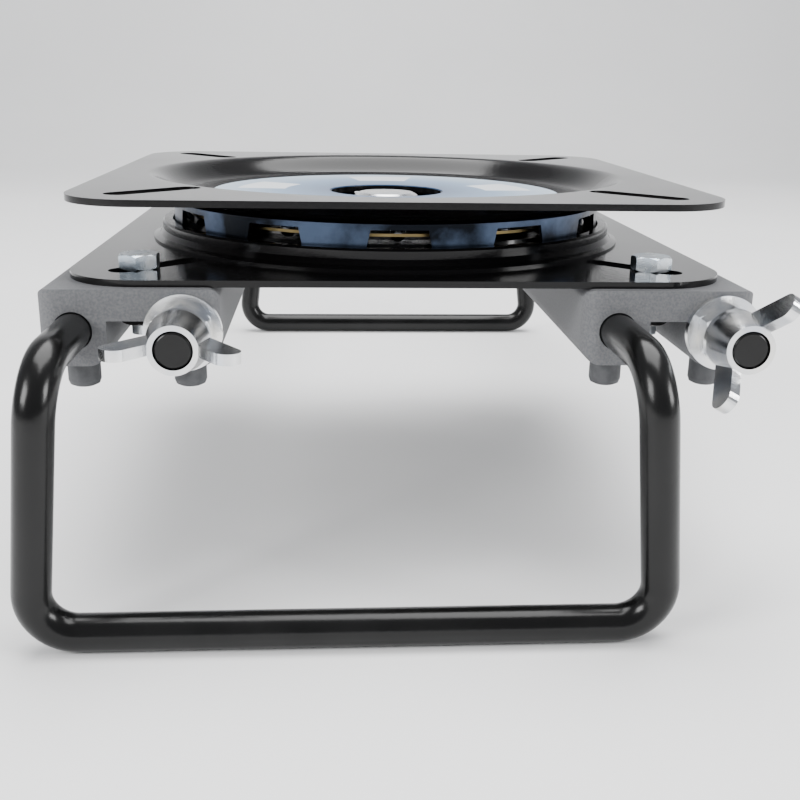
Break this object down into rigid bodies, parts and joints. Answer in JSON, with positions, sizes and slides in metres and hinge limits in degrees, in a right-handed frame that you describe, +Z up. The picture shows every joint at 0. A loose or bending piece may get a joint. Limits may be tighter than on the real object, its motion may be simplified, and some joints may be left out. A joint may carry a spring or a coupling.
{
  "type": "boat seat mount",
  "caption": "clamp-on boat seat mount: a square two-plate swivel on grey moulded blocks, held on a bench by two bent bars drawn together with wing nuts",
  "frame": {"origin": "on the swivel axis, in the plane that the seat sits on", "axes": "+Z up along the swivel axis; +Y from the fixed bar towards the clamp bar, the way the bars run; +X to the right seen from the wing nuts"},
  "size_m": [0.191, 0.3518, 0.1052],
  "materials": {
    "black_plate": "gloss black powder coat",
    "label_film": "printed film",
    "tab_steel": "pressed steel",
    "bearing_steel": "polished",
    "cage_brass": "satin",
    "bright_zinc": "bright zinc plate",
    "moulded_grey": "fine speckled grain",
    "rubber_foot": "matte",
    "black_bar": "satin black powder coat",
    "bolt_zinc": "zinc plate",
    "black_nut": "black oxide"
  },
  "bodies": {
    "base": {"lower_plate": "black_plate", "race_ring": "black_plate", "centre_pivot": "bright_zinc", "left_block": "moulded_grey", "right_block": "moulded_grey", "left_feet": "rubber_foot", "right_feet": "rubber_foot", "fixed_bar": "black_bar", "left_front_washer": "bright_zinc", "right_front_washer": "bright_zinc", "rear_washers": "bright_zinc", "rear_lock_nuts": "bright_zinc", "plate_bolts": "bolt_zinc", "bolt_nuts": "black_nut"},
    "seat_plate": {"upper_plate": "black_plate", "label_disc": "label_film", "retaining_ring": "tab_steel"},
    "cage": {"ball_cage": "cage_brass", "bearing_balls": "bearing_steel"},
    "clamp": {"clamp_bar": "black_bar"},
    "left_nuts": {"left_hex_nut": "bright_zinc", "left_wing_nut": "bright_zinc"},
    "right_nuts": {"right_hex_nut": "bright_zinc", "right_wing_nut": "bright_zinc"}
  },
  "joints": [
    {"name": "seat_swivel", "type": "hinge", "parent": "base", "child": "seat_plate", "pos_m": [0, 0, 0], "axis": [0, 0, 1], "continuous": true},
    {"name": "cage_swivel", "type": "hinge", "parent": "base", "child": "cage", "pos_m": [0, 0, 0], "axis": [0, 0, 1], "continuous": true},
    {"name": "clamp_slide", "type": "slide", "parent": "base", "child": "clamp", "axis": [0, -1, 0], "range_m": [0, 0.1]},
    {"name": "left_wing_turn", "type": "hinge", "parent": "base", "child": "left_nuts", "pos_m": [-0.0565, -0.106, -0.0328], "axis": [0, 1, 0], "range_deg": [0, 22680]},
    {"name": "right_wing_turn", "type": "hinge", "parent": "base", "child": "right_nuts", "pos_m": [0.0845, -0.106, -0.0328], "axis": [0, 1, 0], "range_deg": [0, 22680]}
  ],
  "couplings": [
    {"joint": "cage_swivel", "follows": "seat_swivel", "ratio": 0.5},
    {"joint": "left_wing_turn", "follows": "clamp_slide", "rad_per_m": 3957.9},
    {"joint": "right_wing_turn", "follows": "clamp_slide", "rad_per_m": 3957.9}
  ]
}
